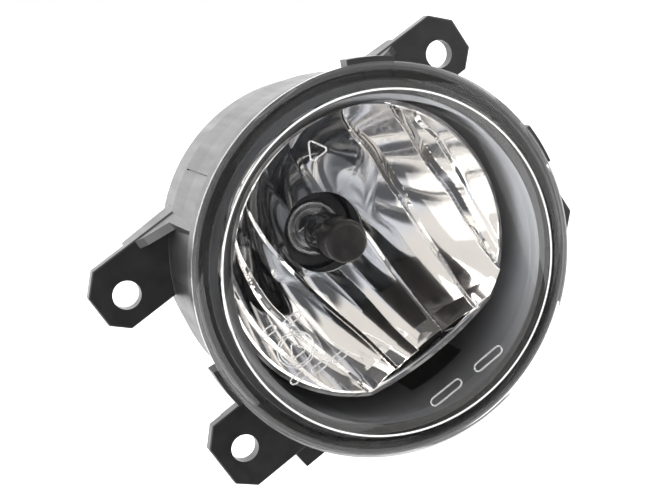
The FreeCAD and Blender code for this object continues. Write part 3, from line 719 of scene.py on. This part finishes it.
def triangle(x, z, side):
    """Outline of an upright triangle with rounded corners."""
    corner = side * 0.12
    reach = side / math.sqrt(3) - 2 * corner
    points = []
    for turn in (90, 210, 330):
        a = math.radians(turn)
        for step in range(-4, 5):
            b = math.radians(turn + 15 * step)
            across = x + reach * math.cos(a) + corner * math.cos(b)
            up = z + reach * math.sin(a) + corner * math.sin(b)
            points.append((across, up))
    return points


def circle(x, z, radius):
    """Outline of a ring."""
    count = 72
    turns = [2 * math.pi * i / count for i in range(count)]
    return [(x + radius * math.cos(a), z + radius * math.sin(a)) for a in turns]


def on_dome(x, z):
    """Centre of a bead over a point of the lens given in millimetres from its axis."""
    y = dome_y(LENS_APEX_Y, DOME_EDGE, math.hypot(x, z) * MM) - BEAD_R * 0.9
    return Vector((x * MM, y, AXIS_Z + z * MM))


def lens_marks(material):
    """Raised beads along the outlines of the signs on the lens."""
    outlines = [stadium(*dash) for dash in DASHES]
    outlines += [triangle(*place) for place in TRIANGLES]
    outlines += [circle(*RING_PLACE, radius) for radius in RING_RS]
    forward = Vector((0, -1, 0))
    sides = 10
    vertices, faces = [], []
    for outline in outlines:
        first = len(vertices)
        count = len(outline)
        spots = [on_dome(x, z) for x, z in outline]
        for i, spot in enumerate(spots):
            along = (spots[(i + 1) % count] - spots[i - 1]).normalized()
            across = along.cross(forward).normalized()
            for k in range(sides):
                a = 2 * math.pi * k / sides
                vertices.append(spot + across * BEAD_R * math.cos(a) + forward * BEAD_R * math.sin(a))
        for i in range(count):
            here, after = first + i * sides, first + (i + 1) % count * sides
            for k in range(sides):
                turn = (k + 1) % sides
                faces.append((here + k, here + turn, after + turn, after + k))
    piece = mesh_piece("lens_marks", vertices, faces, material, 180, closed=True)
    piece.visible_shadow = False
    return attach(piece, "lamp_body")


# ---- bulb ----

def bulb_coating(material):
    """Opaque cap of paint on the end of the glass."""
    end_y = BULB_TIP_Y + COATED_LENGTH
    outer_r = BULB_R + COATING_T
    tip = BULB_TIP_Y - COATING_T
    inner_tip = BULB_TIP_Y - COATING_GAP
    inner_r = BULB_R + COATING_GAP
    corner = BULB_CORNER_R
    inset = corner * (1 - math.sqrt(0.5))
    outline = [(0.0, tip), (outer_r - corner, tip)]
    outline += arc(outline[-1], (outer_r - inset, tip + inset), (outer_r, tip + corner), 10)
    outline += [(outer_r, end_y), (inner_r, end_y), (inner_r, BULB_TIP_Y + corner)]
    outline += arc(outline[-1], (BULB_R - inset, BULB_TIP_Y + inset), (BULB_R - corner, inner_tip), 10)
    outline += [(0.0, inner_tip)]
    piece = lathe("bulb_tip_coating", outline, BULB_Z, material, 128)
    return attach(piece, "bulb")


def wire_helix(name, centre, length, material):
    """Round wire wound about the X axis."""
    curve = bpy.data.curves.new(name, "CURVE")
    curve.dimensions = "3D"
    curve.bevel_depth = COIL_WIRE_R
    curve.bevel_resolution = 2
    spline = curve.splines.new("POLY")
    count = COIL_TURNS * 20
    spline.points.add(count)
    for i in range(count + 1):
        t = i / count
        a = 2 * math.pi * COIL_TURNS * t
        x = centre[0] + length * (t - 0.5)
        spline.points[i].co = (x, centre[1] + COIL_R * math.cos(a), centre[2] + COIL_R * math.sin(a), 1.0)
    coil = add_object(name, curve)
    data = bpy.data.meshes.new_from_object(coil.evaluated_get(bpy.context.evaluated_depsgraph_get()))
    bpy.data.objects.remove(coil)
    data.materials.clear()
    data.materials.append(material)
    data.shade_smooth()
    return add_object(name + "_wire", data)


def filament(material):
    """Coil at the bowl's focus, as long as the CAD's rod."""
    low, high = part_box("bulb_filament")
    coil = wire_helix("filament", (0, FOCUS_Y, BULB_Z), high.x - low.x, material)
    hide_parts("bulb_filament")
    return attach(coil, "bulb")


def collar_cup(material):
    """Pressed, dished collar with a stepped rim round the glass."""
    low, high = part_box("bulb_collar")
    r = (high.x - low.x) / 2
    front, back = low.y, high.y
    outline = [
        (BULB_R * 0.62, front + 2.6 * MM), (BULB_R * 0.72, front + 2.0 * MM),
        (BULB_R * 0.98, front + 1.5 * MM), (r - 2.2 * MM, front + 1.1 * MM),
        (r - 1.3 * MM, front + 0.25 * MM),
    ]
    outline += arc(outline[-1], (r - 0.75 * MM, front), (r - 0.3 * MM, front + 0.15 * MM), 6)
    outline += arc(outline[-1], (r - 0.08 * MM, front + 0.36 * MM), (r, front + 0.8 * MM), 4)
    outline += [
        (r, back), (r - COLLAR_T, back), (r - COLLAR_T, front + 1.2 * MM), (r - 1.6 * MM, front + 1.7 * MM),
        (BULB_R * 0.9, front + 2.4 * MM), (BULB_R * 0.62, front + 3.4 * MM),
    ]
    piece = lathe("bulb_collar_cup", outline, BULB_Z, material, 128)
    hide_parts("bulb_collar")
    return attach(piece, "bulb")


# ---- adjuster screw ----

def thread_radius(angle, y, start_y, end_y):
    """Radius of the shank: a trapezoid thread that runs out at both ends of its length."""
    turn = ((y - start_y) / THREAD_PITCH - angle / (2 * math.pi)) % 1.0
    crest = min(max(abs(turn - 0.5) * 4 - 0.6, 0.0), 1.0)
    runout = max(0.0, min(1.0, (y - start_y) / MM, (end_y - y) / MM))
    return THREAD_R - THREAD_DEPTH * (1 - crest) * runout


def screw_shank(low_y, head_y, material):
    """Shank with its thread and the groove for the clip, and the flange under the head."""
    groove_low, groove_high = (head_y - before for before in GROOVE_BEFORE_HEAD)
    start_y, end_y = low_y + 0.8 * MM, groove_low - 0.7 * MM
    flange_y = head_y + FLANGE_T
    around, count = 64, 220
    rings = [(low_y, THREAD_R - 0.8 * MM)]
    rings += [(start_y + (end_y - start_y) * i / count, None) for i in range(count + 1)]
    rings += [(groove_low, THREAD_R), (groove_low, GROOVE_R)]
    rings += [(groove_high, GROOVE_R), (groove_high, THREAD_R)]
    rings += [(head_y, THREAD_R), (head_y, FLANGE_R)]
    rings += [(flange_y - 0.3 * MM, FLANGE_R), (flange_y, FLANGE_R - 0.3 * MM)]
    vertices = []
    for y, radius in rings:
        for k in range(around):
            a = 2 * math.pi * k / around
            r = radius or thread_radius(a, y, start_y, end_y)
            vertices.append((r * math.cos(a), y, SCREW_Z + r * math.sin(a)))
    ends = [tuple(range(around)), tuple(range(len(vertices) - around, len(vertices)))]
    faces = ends + tube_faces(len(rings), around)
    return mesh_piece("adjuster_screw_threaded", vertices, faces, material, closed=True)


def cross_cutter(low_y, high_y, material):
    """Prism with the outline of a cross, to cut the recess."""
    long, thin = RECESS_HALF
    quarter = [(long, thin), (thin, thin), (thin, long)]
    outline = []
    for _ in range(4):
        outline += quarter
        quarter = [(-z, x) for x, z in quarter]
    count = len(outline)
    vertices = [(x, y, SCREW_Z + z) for y in (low_y, high_y) for x, z in outline]
    faces = [tuple(range(count)), tuple(range(count, 2 * count))]
    faces += [(i, (i + 1) % count, count + (i + 1) % count, count + i) for i in range(count)]
    return mesh_piece("cutter", vertices, faces, material, closed=True)


def combine(piece, other, operation):
    """Joins other to piece or cuts it away, and deletes other."""
    step = piece.modifiers.new("combine", "BOOLEAN")
    step.operation = operation
    step.object = other
    bpy.context.view_layer.update()
    data = bpy.data.meshes.new_from_object(piece.evaluated_get(bpy.context.evaluated_depsgraph_get()))
    piece.modifiers.clear()
    piece.data = data
    bpy.data.objects.remove(other)


def threaded_screw(material):
    """Adjuster screw: threaded shank, clip groove, flange and hexagon head with a cross recess."""
    end_y = screw_high.y
    head_y = end_y - HEAD_LENGTH
    piece = screw_shank(screw_low.y, head_y, material)
    in_flange_y = head_y + FLANGE_T / 2
    hexagon = [(0.0, in_flange_y), (HEAD_CORNER_R, in_flange_y), (HEAD_CORNER_R, end_y - 0.5 * MM)]
    hexagon += [(HEAD_CORNER_R - 0.6 * MM, end_y), (0.0, end_y)]
    combine(piece, lathe("hexagon", hexagon, SCREW_Z, material, 6), "UNION")
    combine(piece, cross_cutter(end_y - RECESS_DEPTH, end_y + 1.0 * MM, material), "DIFFERENCE")
    piece.data.set_sharp_from_angle(angle=math.radians(35))
    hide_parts("adjuster_screw")
    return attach(piece, "adjuster")


# ---- bellows ----

def boot_line(outer):
    """Middle line of the boot's wall from the neck outwards, and the index of the last fold's top."""
    radii = [*FOLD_RS, outer - BOOT_HALF]
    line = [(radii[0], BOOT_START_Y), (radii[0], FOLD_TURN_YS[0])]
    for i, y in enumerate(FOLD_TURN_YS):
        near, far = radii[i], radii[i + 1]
        side = 1 if i % 2 == 0 else -1
        line += arc((near, y), ((near + far) / 2, y + side * (far - near) / 2), (far, y), FOLD_STEPS)
        if i < 2:
            line.append((far, FOLD_TURN_YS[i + 1]))
    return line, len(line) - FOLD_STEPS // 2


def bellows(material):
    """Rubber boot: the outer cuff stays on the housing, the folds lie round the reflector's neck."""
    line, top = boot_line(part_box("neck_boot")[1].x)
    one_side, other_side = offset_sides(line[:top], BOOT_HALF)
    folds = lathe("rubber_boot", one_side + other_side[::-1], BULB_Z, material, 192, 50)
    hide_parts("neck_boot")
    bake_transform(folds)

    cuff_line = line[top - 1:] + [(line[-1][0], CUFF_END_Y)]
    outside, inside = offset_sides(cuff_line, BOOT_HALF)
    grip = [(CUFF_GRIP_R, CUFF_END_Y), (CUFF_GRIP_R, CUFF_STEP_Y), (inside[-1][0], CUFF_STEP_Y)]
    outline = outside + grip + [point for point in inside[::-1] if point[1] > CUFF_TOP_Y]
    cuff = lathe("rubber_boot_cuff", outline, BULB_Z, material, 192, 50)
    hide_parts("neck_boot")
    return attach(cuff, "lamp_body")


def offset_sides(line, half):
    """Both sides of a strip of half thickness round a line of (r, y) points."""
    left, right = [], []
    for i, (r, y) in enumerate(line):
        before = line[max(i - 1, 0)]
        after = line[min(i + 1, len(line) - 1)]
        dr, dy = after[0] - before[0], after[1] - before[1]
        length = math.hypot(dr, dy)
        left.append((r - half * dy / length, y + half * dr / length))
        right.append((r + half * dy / length, y - half * dr / length))
    return left, right


# ---- finish the carried CAD nodes ----

def paint(node, material):
    """Gives a carried CAD node its material."""
    data = NODES[node].data
    data.materials.clear()
    data.materials.append(material)


def paint_all(steel, zinc, rubber):
    """Materials of all the CAD nodes that stay in view."""
    white = nylon()
    looks = {
        # the housing's inner wall gets a painted grey sheen and painted shade
        "housing": black_moulding(painted_light_inside=True),
        "reflector": reflector_moulding(),
        "bulb_base": black_moulding("bulb_base_moulding", 0.026, (0.42, 0.58)),
        "bulb_terminals": turned_steel("tinned_brass", (0.8, 0.77, 0.68), (0.18, 0.34)),
        "bulb_o_ring": soft_rubber("red_seal", (0.3, 0.06, 0.035), (0.38, 0.1, 0.07)),
        "bulb_glass": quartz(),
        "bulb_supports": steel,
        "pivot_pins": steel,
        "pivot_bushes": white,
        "adjuster_nut": white,
        "adjuster_clip": steel,
        "adjuster_washer": zinc,
        "adjuster_o_ring": rubber,
        "vent_cap": rubber,
        "vent_membrane": felt(),
        "lens_sealant": glue_bead(),
    }
    for node, material in looks.items():
        paint(node, material)
    NODES["bulb_glass"].visible_shadow = False


# ---- set ----

def camera():
    """Camera above and to the left of the lamp, rolled as a hand-held lamp would be seen."""
    place = Vector((-68.4, -363.3, 116.7)) * MM
    right = Vector((0.7726, -0.3156, -0.5509))
    rough_up = Vector((0.6113, 0.1350, 0.7798))
    back = right.cross(rough_up).normalized()
    up = back.cross(right).normalized()
    data = bpy.data.cameras.new("camera")
    data.sensor_width = 36.0
    data.lens = 75.3
    data.clip_start = 0.01
    eye = add_object("camera", data)
    turn = Matrix((right.normalized(), up, back)).transposed().to_4x4()
    eye.matrix_world = Matrix.Translation(place) @ turn
    bpy.context.scene.camera = eye


def area_light(name, place, size, power):
    """Soft box at place, aimed at the lamp."""
    data = bpy.data.lights.new(name, "AREA")
    data.shape = "RECTANGLE"
    data.size, data.size_y = size
    data.energy = power
    lamp = add_object(name, data)
    lamp.location = place
    lamp.rotation_euler = (-Vector(place)).to_track_quat("-Z", "Y").to_euler()


def sky_share(tree, direction, low, high, start, stop):
    """start where the sky is less than low along direction, stop beyond high."""
    coords = tree.nodes.new("ShaderNodeTexCoord")
    dot = tree.nodes.new("ShaderNodeVectorMath")
    dot.operation = "DOT_PRODUCT"
    dot.inputs[1].default_value = Vector(direction).normalized()
    tree.links.new(coords.outputs["Generated"], dot.inputs[0])
    ranged = tree.nodes.new("ShaderNodeMapRange")
    ranged.interpolation_type = "SMOOTHSTEP"
    for key, value in zip(("From Min", "From Max", "To Min", "To Max"), (low, high, start, stop)):
        ranged.inputs[key].default_value = value
    tree.links.new(dot.outputs["Value"], ranged.inputs["Value"])
    return ranged.outputs["Result"]


def sky_level(tree):
    """Strength of the sky: a bright tent behind, a dim room in front with a dark table and camera in it."""
    room = sky_share(tree, (0, -0.90, -0.42), 0.84, 0.94, ROOM_LEVEL, TABLE_LEVEL)
    tent = sky_share(tree, (0, 1, 0), -0.45, -0.25, 0.0, TENT_LEVEL)
    tree.links.new(room, tent.node.inputs["To Min"])
    round_camera = sky_share(tree, (-0.17, -0.94, 0.30), 0.955, 0.985, 1.0, CAMERA_LEVEL)
    level = tree.nodes.new("ShaderNodeMath")
    level.operation = "MULTIPLY"
    tree.links.new(tent, level.inputs[0])
    tree.links.new(round_camera, level.inputs[1])
    return level.outputs["Value"]


def sky_colour(tree):
    """Colour of the sky: white behind, and in front warm at the sides and cool in the middle."""
    middle = sky_share(tree, (-0.08, -0.98, 0.0), 0.84, 0.93, 0.0, 1.0)
    behind = sky_share(tree, (0, 1, 0), -0.45, -0.25, 0.0, 1.0)
    return mix_colours(tree, behind, mix_colours(tree, middle, WARM, COOL), WHITE)


def sky():
    """Lights the lamp by the sky, which is plain white where the camera sees it directly."""
    world = bpy.data.worlds.new("tent")
    bpy.context.scene.world = world
    world.use_nodes = True
    tree = world.node_tree
    background = tree.nodes["Background"]
    seen_directly = tree.nodes.new("ShaderNodeLightPath").outputs["Is Camera Ray"]
    strength = tree.nodes.new("ShaderNodeMapRange")
    tree.links.new(seen_directly, strength.inputs["Value"])
    tree.links.new(sky_level(tree), strength.inputs["To Min"])
    tree.links.new(strength.outputs["Result"], background.inputs["Strength"])
    colour = mix_colours(tree, seen_directly, sky_colour(tree), WHITE)
    tree.links.new(colour, background.inputs["Color"])


def studio():
    """White tent, three soft boxes and a pale floor."""
    bpy.context.scene.view_settings.view_transform = "Standard"
    sky()
    area_light("top_softbox", (0.15, -0.75, 0.65), (0.7, 0.5), 0.6)
    area_light("left_softbox", (-0.92, -0.40, -0.05), (0.6, 0.9), 9.0)
    area_light("right_softbox", (0.78, -0.60, -0.25), (0.7, 0.9), 5.5)

    left, right, front, back, height = -1.2, 1.2, -0.12, 2.4, -0.30
    corners = [(left, front, height), (right, front, height), (right, back, height), (left, back, height)]
    pale = Surface("pale_floor", 0.9)
    pale.colour(pale.noise(3, 2.0), (0.9, 0.9, 0.9), (0.93, 0.93, 0.93))
    floor = mesh_piece("floor", corners, [(0, 1, 2, 3)], pale.material)


def main():
    steel = turned_steel("turned_steel", (0.66, 0.65, 0.63))
    zinc = turned_steel("zinc_plate", (0.44, 0.43, 0.38), (0.26, 0.44))
    rubber = soft_rubber("black_rubber", (0.02, 0.02, 0.02), (0.05, 0.05, 0.048))
    paint_all(steel, zinc, rubber)
    reflector_mirror(mirror())
    lens_cover(clear_plastic())
    lens_marks(frosted_relief())
    bulb_coating(tip_coating())
    filament(tungsten())
    collar_cup(steel)
    threaded_screw(zinc)
    bellows(rubber)
    camera()
    studio()


main()
